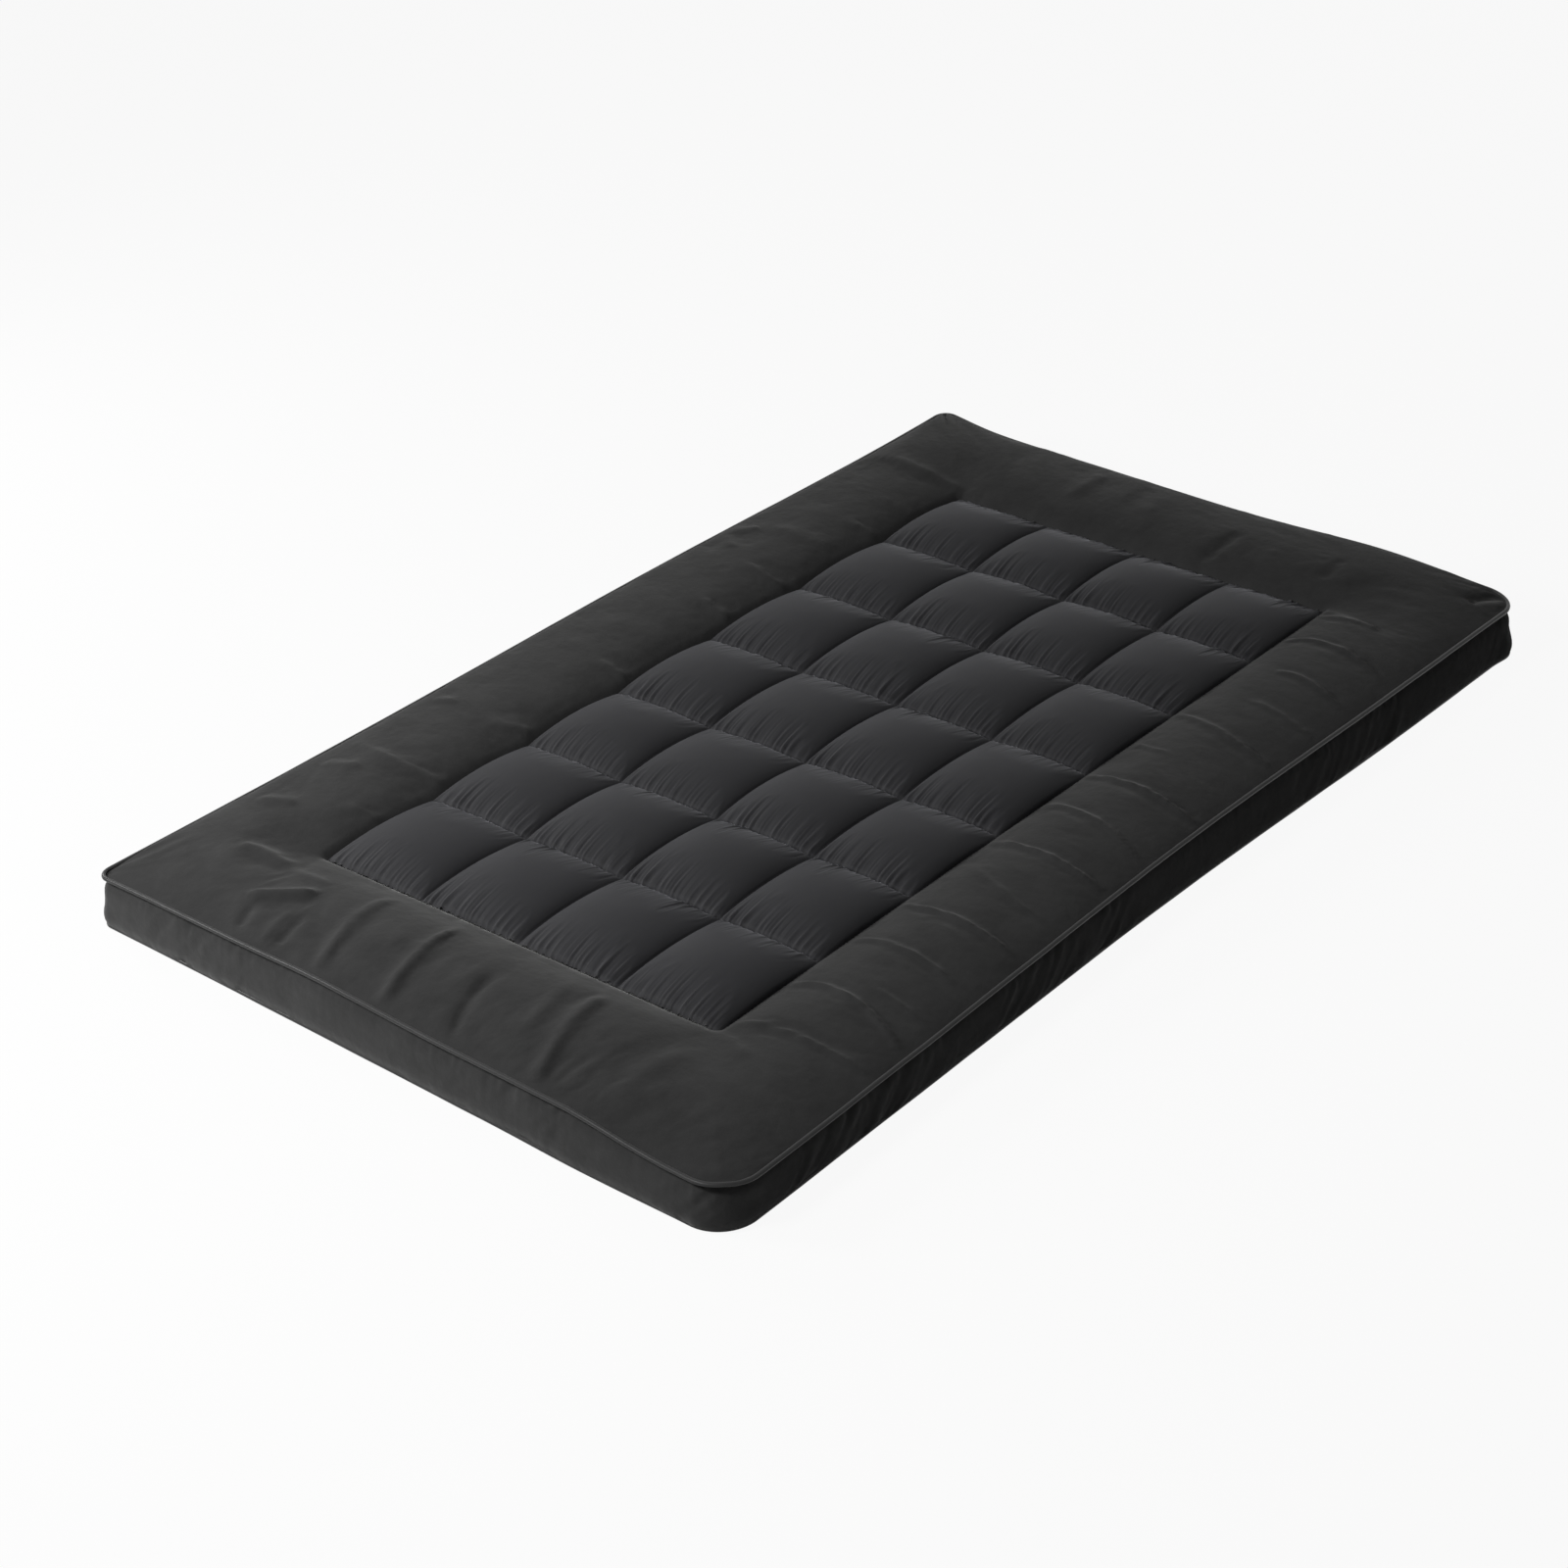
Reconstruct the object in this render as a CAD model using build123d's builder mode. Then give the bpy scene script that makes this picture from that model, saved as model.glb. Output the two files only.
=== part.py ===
"""Quilted futon mattress: a boxed and piped cover around a foam core between two fibre pads.

The frame: +Z up, the underside on Z = 0, the width along X and the length along Y, the foot end at -Y.
The top of the cover is quilted into rows of tufts inside a wide plain border. The mattress folds in
three for storage, along the quilting lines nearest its thirds, so each layer is made as a foot, a
middle and a head section that meet at those lines. All lengths are millimetres.
"""

from build123d import *
import os

# Overall plan, measured to the middle of the piping.
width = 1170.0
length = 2000.0
corner_radius = 60.0

# Quilted field.
tuft_width = 180.0
tuft_length = 217.0
tuft_columns = 4
rows_foot = 2
rows_middle = 3
rows_head = 2
channel_half_width = 2.5

# Layers, from the underside up, and how far the top rises above the seams between the tufts.
bottom_pad_thickness = 16.1
core_thickness = 40.0
pinched_pad_thickness = 13.1
tuft_rise = 26.0
ridge_margin = 3.0
border_rise = 25.0
top_seam_rise = 13.5

# Sheets, tubes and threads.
cover_thickness = 1.5
backing_thickness = 0.8
flange_thickness = 1.0
flange_width = 12.0
piping_radius = 3.5
piping_wall = 0.9
thread_width = 1.2
thread_height = 0.8
thread_inset = 1.6

# Clearances.
seat_gap = 0.2
cord_gap = 0.1
fold_gap = 0.3
fold_clearance = 0.5
pad_edge_gap = 0.3
core_margin = 12.0
backing_margin = 12.0
land_margin = 2.0
piping_lift = 0.5

# Sizes that follow from the ones above.
field_width = tuft_columns * tuft_width
field_length = (rows_foot + rows_middle + rows_head) * tuft_length
field_start = -field_length / 2
fold_1 = field_start + rows_foot * tuft_length
fold_2 = fold_1 + rows_middle * tuft_length
sheet_inset = piping_radius + cord_gap
side_border = (width - field_width) / 2
end_border = (length - field_length) / 2
core_bottom = cover_thickness + seat_gap + bottom_pad_thickness + seat_gap
core_top = core_bottom + core_thickness
backing_base = core_top + seat_gap
pad_base = backing_base + backing_thickness + seat_gap
channel_height = pad_base + pinched_pad_thickness + seat_gap + cover_thickness
tuft_crown_height = channel_height + tuft_rise
border_crown_height = channel_height + border_rise
top_seam_height = channel_height + top_seam_rise
band_inside = sheet_inset + cover_thickness
pad_inset = band_inside + pad_edge_gap
flange_inset = sheet_inset + flange_width
land_width = flange_inset + land_margin
band_base = cover_thickness + flange_thickness
bottom_piping_height = piping_radius + piping_lift
top_piping_height = top_seam_height + flange_thickness / 2
top_land_height = top_seam_height + flange_thickness + cover_thickness
tallest = max(tuft_crown_height, border_crown_height)
deep = 4 * tallest
fold_1_axis_height = tallest + fold_clearance
fold_2_axis_height = -fold_clearance

# Each section's share of the length, its rows of tufts and the line where its first row starts.
sections = {
    "foot": (-length, fold_1 - fold_gap, rows_foot, field_start),
    "middle": (fold_1 + fold_gap, fold_2 - fold_gap, rows_middle, fold_1),
    "head": (fold_2 + fold_gap, length, rows_head, fold_2),
}

os.makedirs("parts", exist_ok=True)


def save(part, name):
    """Labels a finished piece and writes it to its own file."""
    part.label = name
    export_step(part, f"parts/{name}.step")


def plan(inset, mode=Mode.ADD):
    """The rounded outline of the mattress, moved inwards by inset from the middle of the piping."""
    radius = corner_radius - inset
    return RectangleRounded(width - 2 * inset, length - 2 * inset, radius, mode=mode)


def section_block(section, inset=0.0):
    """A tall block over one section's share of the outline, used to cut layers to that section."""
    low, high = sections[section][:2]
    with BuildPart() as block:
        with BuildSketch(Plane.XY.offset(-deep / 2)):
            plan(inset)
        extrude(amount=deep)
        with BuildSketch(Plane.XY.offset(-deep / 2)):
            with Locations((0, (low + high) / 2)):
                Rectangle(2 * width, high - low)
        extrude(amount=deep, mode=Mode.INTERSECT)
    return block.part


def scallop(count, pitch, start, rise, drop, base):
    """A closed outline under a row of tuft arcs: the arcs above, a straight line at base below."""
    low = channel_height - drop
    crown = low + rise
    end = start + count * pitch
    with BuildLine() as outline:
        for index in range(count):
            left = start + index * pitch
            right = left + pitch
            arc_left = left + channel_half_width
            arc_right = right - channel_half_width
            Line((left, low), (arc_left, low))
            ThreePointArc((arc_left, low), ((left + right) / 2, crown), (arc_right, low))
            Line((arc_right, low), (right, low))
        Line((end, low), (end, base))
        Line((end, base), (start, base))
        Line((start, base), (start, low))
    return outline.line


def tufted_block(section, drop, base):
    """The solid under one section's tufts, its surface lowered by drop and its underside at base.

    The arcs along the length rise further than those across it, so each tuft is crowned by a short
    ridge along the length.
    """
    low, high, rows, first = sections[section]
    low = max(low, field_start)
    high = min(high, field_start + field_length)
    with BuildPart() as block:
        with BuildSketch(Plane.XZ.offset(-high)):
            add(scallop(tuft_columns, tuft_width, -field_width / 2, tuft_rise, drop, base))
            make_face()
        extrude(amount=high - low)
        with BuildSketch(Plane.YZ.offset(-field_width)):
            add(scallop(rows, tuft_length, first, tuft_rise + ridge_margin, drop, base))
            make_face()
        extrude(amount=2 * field_width, mode=Mode.INTERSECT)
    return block.part


def border_surface(span, drop):
    """The line across the border: a land at the piping, a crown, a land at the quilted field."""
    share = span / side_border
    edge = top_land_height - drop
    low = channel_height - drop
    rise_start = (land_width * share, edge)
    crown = ((land_width + side_border) / 2 * share, border_crown_height - drop)
    fall_end = ((side_border - channel_half_width) * share, low)
    with BuildLine() as surface:
        Line((0, edge), rise_start)
        TangentArc(crown, rise_start, tangent=(-1, 0))
        TangentArc(crown, fall_end, tangent=(1, 0))
        Line(fall_end, (span, low))
    return surface.line


def border_sheet_outline(span):
    """The closed outline of the cover sheet across the border."""
    with BuildLine() as outline:
        add(border_surface(span, 0))
        add(border_surface(span, cover_thickness))
        Line((0, top_land_height), (0, top_land_height - cover_thickness))
        Line((span, channel_height), (span, channel_height - cover_thickness))
    return outline.line


def border_fill_outline(span):
    """The closed outline of what fills the border under the sheet, down to the base of the top pad."""
    drop = cover_thickness + seat_gap
    with BuildLine() as outline:
        add(border_surface(span, drop))
        Line((0, top_land_height - drop), (0, pad_base))
        Line((0, pad_base), (span, pad_base))
        Line((span, pad_base), (span, channel_height - drop))
    return outline.line


def across_side(side, y):
    """The upright plane straight across one long side of the border, and the border's span in it."""
    origin = (side * width / 2, y, 0)
    return Plane(origin=origin, x_dir=(-side, 0, 0), z_dir=(0, side, 0)), side_border


def across_end(end):
    """The upright plane straight across the middle of one end of the border, and the span in it."""
    return Plane(origin=(0, end * length / 2, 0), x_dir=(0, -end, 0), z_dir=(-end, 0, 0)), end_border


def mitre(side, end):
    """The upright plane from a corner of the outline to a corner of the field, and the span in it."""
    inward = Vector(-side * side_border, -end * end_border, 0)
    origin = (side * width / 2, end * length / 2, 0)
    return Plane(origin=origin, x_dir=inward, z_dir=inward.cross(Vector(0, 0, 1))), inward.length


def border_runs(section):
    """The planes that each run of a section's border passes through, in order."""
    low, high = sections[section][:2]
    if section == "foot":
        return [[across_side(-1, high), mitre(-1, -1), across_end(-1), mitre(1, -1), across_side(1, high)]]
    if section == "head":
        return [[across_side(1, low), mitre(1, 1), across_end(1), mitre(-1, 1), across_side(-1, low)]]
    return [
        [across_side(-1, high), across_side(-1, low)],
        [across_side(1, low), across_side(1, high)],
    ]


def border_block(section, outline, inset):
    """One section's border with the given outline across it, cut to the rounded plan at inset."""
    with BuildPart() as block:
        for run in border_runs(section):
            for plane, span in run:
                with BuildSketch(plane):
                    add(outline(span))
                    make_face()
            loft(ruled=True)
        add(section_block(section, inset), mode=Mode.INTERSECT)
    return block.part


def quilted_panel(section):
    """The quilted middle of the top cover: one sheet, domed over each tuft and flat along each seam."""
    base = channel_height - cover_thickness
    with BuildPart() as panel:
        add(tufted_block(section, 0, base))
        add(tufted_block(section, cover_thickness, base - cover_thickness), mode=Mode.SUBTRACT)
    save(panel.part, f"quilted_panel_{section}")


def top_border(section):
    """The plain border of the top cover, from the seam around the tufts out to the piping."""
    save(border_block(section, border_sheet_outline, sheet_inset), f"top_border_{section}")


def top_fibre_pad(section):
    """The fibre pad under the cover: it fills every tuft and the border, and clears the top flange."""
    drop = cover_thickness + seat_gap
    with BuildPart() as pad:
        add(border_block(section, border_fill_outline, pad_inset))
        add(tufted_block(section, drop, pad_base))
        with BuildSketch(Plane.XY.offset(top_seam_height - seat_gap)):
            plan(0)
            plan(flange_inset + seat_gap, Mode.SUBTRACT)
        extrude(amount=tallest, mode=Mode.SUBTRACT)
    save(pad.part, f"top_fibre_pad_{section}")


def quilting_backing(section):
    """The thin sheet under the top pad that the quilting stitches are pulled against."""
    with BuildPart() as backing:
        with BuildSketch(Plane.XY.offset(backing_base)):
            plan(pad_inset + backing_margin)
        extrude(amount=backing_thickness)
        add(section_block(section), mode=Mode.INTERSECT)
    save(backing.part, f"quilting_backing_{section}")


def foam_core(section):
    """One section of the foam slab in the middle of the mattress."""
    with BuildPart() as core:
        with BuildSketch(Plane.XY.offset(core_bottom)):
            plan(band_inside + core_margin)
        extrude(amount=core_thickness)
        add(section_block(section), mode=Mode.INTERSECT)
    save(core.part, f"foam_core_{section}")


def bottom_fibre_pad(section):
    """The fibre pad under the core, with a step round its lower edge that clears the bottom flange."""
    base = cover_thickness + seat_gap
    with BuildPart() as pad:
        with BuildSketch(Plane.XY.offset(base)):
            plan(pad_inset)
        extrude(amount=bottom_pad_thickness)
        with BuildSketch(Plane.XY):
            plan(0)
            plan(flange_inset + seat_gap, Mode.SUBTRACT)
        extrude(amount=band_base + seat_gap, mode=Mode.SUBTRACT)
        add(section_block(section), mode=Mode.INTERSECT)
    save(pad.part, f"bottom_fibre_pad_{section}")


def bottom_sheet(section):
    """The plain sheet that the mattress lies on."""
    with BuildPart() as sheet:
        with BuildSketch(Plane.XY):
            plan(sheet_inset)
        extrude(amount=cover_thickness)
        add(section_block(section), mode=Mode.INTERSECT)
    save(sheet.part, f"bottom_sheet_{section}")


def side_band(section):
    """The upright band of fabric between the two rings of piping."""
    with BuildPart() as band:
        with BuildSketch(Plane.XY.offset(band_base)):
            plan(sheet_inset)
            plan(band_inside, Mode.SUBTRACT)
        extrude(amount=top_seam_height - band_base)
        add(section_block(section), mode=Mode.INTERSECT)
    save(band.part, f"side_band_{section}")


def piping_ring(radius, height):
    """A closed ring of round bar along the outline of the mattress."""
    with BuildSketch(Plane.XY.offset(height)) as outline:
        plan(0)
    route = outline.sketch.face().outer_wire()
    with BuildPart() as ring:
        with BuildSketch(Plane.YZ):
            with Locations((-length / 2, height)):
                Circle(radius)
        sweep(path=route)
    return ring.part


def piping_cover(name, section, height, flange_base):
    """A strip of fabric folded round the piping cord, its two edges sewn into the seam as a flange."""
    with BuildPart() as cover:
        with BuildSketch(Plane.XY.offset(flange_base)):
            plan(0)
            plan(flange_inset, Mode.SUBTRACT)
        extrude(amount=flange_thickness)
        add(piping_ring(piping_radius, height))
        add(piping_ring(piping_radius - piping_wall, height), mode=Mode.SUBTRACT)
        add(section_block(section, -2 * piping_radius), mode=Mode.INTERSECT)
    save(cover.part, f"{name}_{section}")


def piping_cord(name, section, height):
    """The cord inside the piping."""
    with BuildPart() as cord:
        add(piping_ring(piping_radius - piping_wall - cord_gap, height))
        add(section_block(section, -2 * piping_radius), mode=Mode.INTERSECT)
    save(cord.part, f"{name}_{section}")


def quilting_stitches(section):
    """The lines of thread along the seams between the tufts and around the quilted field."""
    low, high, rows, first = sections[section]
    low = max(low, field_start)
    high = min(high, field_start + field_length)
    lines = [first + row * tuft_length for row in range(rows + 1)]
    if section == "foot":
        lines.pop()
    if section == "middle":
        lines[0] += thread_inset
        lines[-1] -= thread_inset
    if section == "head":
        lines.pop(0)
    with BuildPart() as stitches:
        with BuildSketch(Plane.XY.offset(channel_height)):
            for column in range(tuft_columns + 1):
                with Locations((column * tuft_width - field_width / 2, (low + high) / 2)):
                    Rectangle(thread_width, high - low)
            for line in lines:
                with Locations((0, line)):
                    Rectangle(field_width + thread_width, thread_width)
        extrude(amount=thread_height)
    save(stitches.part, f"quilting_stitches_{section}")


for part_of_length in sections:
    quilted_panel(part_of_length)
    top_border(part_of_length)
    top_fibre_pad(part_of_length)
    quilting_backing(part_of_length)
    foam_core(part_of_length)
    bottom_fibre_pad(part_of_length)
    bottom_sheet(part_of_length)
    side_band(part_of_length)
    piping_cover("top_piping_cover", part_of_length, top_piping_height, top_seam_height)
    piping_cord("top_piping_cord", part_of_length, top_piping_height)
    piping_cover("bottom_piping_cover", part_of_length, bottom_piping_height, cover_thickness)
    piping_cord("bottom_piping_cord", part_of_length, bottom_piping_height)
    quilting_stitches(part_of_length)

print(f"foot fold axis: y {fold_1:.1f}, z {fold_1_axis_height:.1f}")
print(f"head fold axis: y {fold_2:.1f}, z {fold_2_axis_height:.1f}")
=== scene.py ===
"""Dresses a quilted, piped, three-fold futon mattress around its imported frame."""

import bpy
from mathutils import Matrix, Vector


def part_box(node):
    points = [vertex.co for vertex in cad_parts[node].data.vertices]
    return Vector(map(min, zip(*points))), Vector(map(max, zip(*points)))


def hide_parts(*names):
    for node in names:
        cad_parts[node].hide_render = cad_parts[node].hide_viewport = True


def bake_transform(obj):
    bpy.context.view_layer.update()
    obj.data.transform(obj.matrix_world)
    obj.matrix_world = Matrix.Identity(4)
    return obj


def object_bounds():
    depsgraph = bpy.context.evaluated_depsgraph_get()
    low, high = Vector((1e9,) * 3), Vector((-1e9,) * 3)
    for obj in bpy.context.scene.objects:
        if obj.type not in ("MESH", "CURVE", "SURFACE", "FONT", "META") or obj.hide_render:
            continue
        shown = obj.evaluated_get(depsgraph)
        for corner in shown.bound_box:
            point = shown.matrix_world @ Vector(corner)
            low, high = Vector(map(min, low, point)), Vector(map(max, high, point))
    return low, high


bl_info = {
    "name": "Quilted Futon Mattress",
    "version": (1, 0, 0),
    "blender": (4, 5, 0),
    "location": "3D View > Sidebar > Mattress",
    "description": "Sews and stuffs a tufted futon mattress with a plain border and piped edges",
    "category": "Object",
}

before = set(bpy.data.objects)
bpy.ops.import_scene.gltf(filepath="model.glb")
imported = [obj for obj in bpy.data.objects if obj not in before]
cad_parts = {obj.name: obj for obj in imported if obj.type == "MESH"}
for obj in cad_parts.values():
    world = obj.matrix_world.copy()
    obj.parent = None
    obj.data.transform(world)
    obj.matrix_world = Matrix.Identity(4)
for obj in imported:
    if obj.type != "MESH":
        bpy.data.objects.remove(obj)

import math
from contextlib import contextmanager

import bmesh
import bpy
import numpy as np
from bpy.props import FloatProperty, FloatVectorProperty, IntProperty, StringProperty
from mathutils import Matrix, Vector, noise

CAD_LOW, CAD_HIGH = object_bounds()
PANEL_LOW, PANEL_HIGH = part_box("quilted_panel_foot")
PANEL_HIGH_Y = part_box("quilted_panel_head")[1].y
MIDDLE_LOW, MIDDLE_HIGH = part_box("quilted_panel_middle")
BAND_LOW, BAND_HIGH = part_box("side_band_foot")
TOP_PIPING_LOW, TOP_PIPING_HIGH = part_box("top_piping_cover_foot")
BOTTOM_PIPING_LOW, BOTTOM_PIPING_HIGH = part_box("bottom_piping_cover_foot")
MM = 0.001

# The frame's three sections meet at the fold lines, half of a fold's gap from the middle panel.
HALF_FOLD_GAP = 0.3 * MM
FOOT_FOLD = MIDDLE_LOW.y - HALF_FOLD_GAP
HEAD_FOLD = MIDDLE_HIGH.y + HALF_FOLD_GAP

# The quilted field's tufts, and how far its seams stand above the CAD panel's underside.
ROWS = 7
COLUMNS = 4
SEAM_RISE = 1.5 * MM


# Sizes and finishes that a user would change.


class MattressSizes(bpy.types.PropertyGroup):
    """The mattress's own sizes, which start from the frame."""

    piping_radius: FloatProperty(
        name="Piping radius", description="Radius of the piping over its cover",
        default=(TOP_PIPING_HIGH.z - TOP_PIPING_LOW.z) / 2, unit="LENGTH",
    )
    corner_radii: FloatVectorProperty(
        name="Corner radii",
        description="Plan radius at head left, foot left, foot right and head right",
        size=4, default=(24 * MM, 20 * MM, 60 * MM, 60 * MM), unit="LENGTH",
    )
    tuft_fullness: FloatProperty(
        name="Tuft fullness", description="How far the tufts rise above their seams",
        default=PANEL_HIGH.z - PANEL_LOW.z - SEAM_RISE, unit="LENGTH",
    )
    gathers: FloatProperty(
        name="Gathers", description="Extra cloth that each tuft's lower seam is gathered from",
        default=0.2, min=0.0, max=0.3, subtype="FACTOR",
    )
    waist: FloatProperty(
        name="Waist", description="How far the right-hand side draws in at its middle",
        default=9 * MM, unit="LENGTH",
    )
    stitch_length: FloatProperty(
        name="Stitch length", description="Length of a quilting stitch",
        default=6 * MM, unit="LENGTH",
    )
    seed: IntProperty(
        name="Seed", description="Which wrinkles and small unevennesses are drawn", default=11,
    )


class MattressFinish(bpy.types.PropertyGroup):
    """The colours of the cloth, thread and filling, as sRGB hex values."""

    sateen: StringProperty(name="Sateen", description="Quilted panel", default="#3d3d3f")
    twill: StringProperty(
        name="Brushed twill", description="Border, band and underside", default="#3b3b3b",
    )
    bias: StringProperty(name="Bias twill", description="Piping", default="#3b3b3b")
    thread: StringProperty(name="Thread", description="Quilting stitches", default="#1a1a1c")
    foam: StringProperty(name="Foam", description="Core", default="#e8dfbf")
    nonwoven: StringProperty(name="Non-woven", description="Quilting backing", default="#dededa")
    floor: StringProperty(name="Floor", description="Studio floor and backdrop", default="#fafafa")


def sizes():
    return bpy.context.scene.mattress_sizes


def finish():
    return bpy.context.scene.mattress_finish


# Meshes.


def read_points(mesh):
    """A mesh's points as rows of x, y, z."""
    points = np.empty(len(mesh.vertices) * 3)
    mesh.vertices.foreach_get("co", points)
    return points.reshape(-1, 3)


def write_points(mesh, points):
    mesh.vertices.foreach_set("co", np.ascontiguousarray(points, float).ravel())
    mesh.update()


def new_object(name, bm):
    """An object at the origin that holds a bmesh, smooth all over."""
    mesh = bpy.data.meshes.new(name)
    bm.to_mesh(mesh)
    bm.free()
    mesh.shade_smooth()
    obj = bpy.data.objects.new(name, mesh)
    bpy.context.scene.collection.objects.link(obj)
    return obj


@contextmanager
def opened(obj):
    """Opens an object's mesh as a bmesh, and writes it back."""
    bm = bmesh.new()
    bm.from_mesh(obj.data)
    yield bm
    bm.to_mesh(obj.data)
    bm.free()


def bake_modifiers(obj):
    """Applies an object's modifiers to its mesh."""
    depsgraph = bpy.context.evaluated_depsgraph_get()
    baked = bpy.data.meshes.new_from_object(obj.evaluated_get(depsgraph))
    obj.modifiers.clear()
    obj.data = baked


def cloth_grid(name, across, along, copies=1):
    """A flat grid of cloth, or several apart, with each point's copy, column and row."""
    bm = bmesh.new()
    for copy in range(copies):
        place = Matrix.Translation((2.0 * copy, 0, 0))
        bmesh.ops.create_grid(bm, x_segments=across, y_segments=along, size=0.5, matrix=place)
    obj = new_object(name, bm)
    points = read_points(obj.data)
    copy = np.rint(points[:, 0] / 2.0).astype(int)
    column = np.rint((points[:, 0] - 2.0 * copy + 0.5) * across).astype(int)
    row = np.rint((points[:, 1] + 0.5) * along).astype(int)
    return obj, copy, column, row


def stuffed(obj, start, cut, sewn, pressure, bending, frames):
    """Settles cloth between its seams by simulation, and returns its points.

    start is how it is laid, cut is the flat shape it was cut to, and sewn is True where it is held.
    """
    mesh = obj.data
    write_points(mesh, start)
    obj.shape_key_add(name="Laid")
    key = obj.shape_key_add(name="Cut")
    key.data.foreach_set("co", np.ascontiguousarray(cut, float).ravel())
    key.value = 0.0
    group = obj.vertex_groups.new(name="Sewn")
    group.add(np.nonzero(sewn)[0].tolist(), 1.0, "REPLACE")
    cloth = obj.modifiers.new("Cloth", "CLOTH")
    cloth.point_cache.frame_end = frames
    cloth.collision_settings.use_collision = False
    cloth.collision_settings.use_self_collision = False
    weave = cloth.settings
    weave.vertex_group_mass = group.name
    weave.rest_shape_key = key
    weave.quality = 5
    weave.mass = 0.003
    weave.tension_stiffness = 20
    weave.compression_stiffness = 20
    weave.shear_stiffness = 6
    weave.bending_stiffness = bending
    weave.tension_damping = 5
    weave.compression_damping = 5
    weave.shear_damping = 5
    weave.bending_damping = 0.5
    weave.air_damping = 1.0
    weave.use_pressure = True
    weave.uniform_pressure_force = pressure
    weave.effector_weights.gravity = 0
    for step in range(1, frames + 1):
        bpy.context.scene.frame_set(step)
    depsgraph = bpy.context.evaluated_depsgraph_get()
    settled = read_points(obj.evaluated_get(depsgraph).to_mesh())
    obj.modifiers.clear()
    obj.shape_key_clear()
    obj.vertex_groups.clear()
    bpy.context.scene.frame_set(1)
    write_points(mesh, settled)
    return settled


def smooth_noise(points, pitch, seed, depth=2):
    """Smooth noise between about -1 and 1 at each point, its lumps about one pitch apart."""
    shift = Vector((17.3 * seed, 5.1 * seed, 9.7 * seed))
    scaled = points / pitch
    return np.array([noise.fractal(Vector(p) + shift, 1.0, 2.0, depth) for p in scaled])


def outline_knots():
    """Where the outline's sides meet its corners: centre, radius and angle, and the way to each."""
    half_x = TOP_PIPING_HIGH.x - sizes().piping_radius
    half_y = -TOP_PIPING_LOW.y - sizes().piping_radius
    head_left, foot_left, foot_right, head_right = sizes().corner_radii
    corners = [(-1, 1, head_left), (-1, -1, foot_left), (1, -1, foot_right), (1, 1, head_right)]
    knots = [(0.0, half_y - head_left, head_left, 90.0)]
    for number, (side, end, radius) in enumerate(corners):
        centre = side * (half_x - radius), end * (half_y - radius), radius
        knots += [(*centre, 90.0 * (number + 1)), (*centre, 90.0 * (number + 2))]
    knots.append((0.0, half_y - head_left, head_left, 450.0))
    knots = np.array(knots)
    turn = np.radians(knots[:, 3])
    on_line = knots[:, :2] + knots[:, 2:3] * np.stack([np.cos(turn), np.sin(turn)], 1)
    straight = np.hypot(*np.diff(on_line, axis=0).T)
    arc = np.abs(np.diff(turn)) * knots[1:, 2]
    way = np.concatenate([[0], np.cumsum(np.where(arc > 0, arc, straight))])
    return knots, way


def outline(share):
    """Points and outward directions at shares of the way round, over the piping's middle.

    The way starts at the middle of the head end and goes round by the left, foot and right.
    """
    knots, way = outline_knots()
    at = np.asarray(share) * way[-1]
    x, y, radius, angle = (np.interp(at, way, knots[:, i]) for i in range(4))
    outwards = np.stack([np.cos(np.radians(angle)), np.sin(np.radians(angle))], 1)
    return np.stack([x, y], 1) + radius[:, None] * outwards, outwards


def bell(value, middle, reach):
    return np.exp(-(((value - middle) / reach) ** 2))


def ease(value, start, end):
    """0 before start, 1 after end, and smooth between them."""
    share = np.clip((value - start) / (end - start), 0, 1)
    return share * share * (3 - 2 * share)


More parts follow.
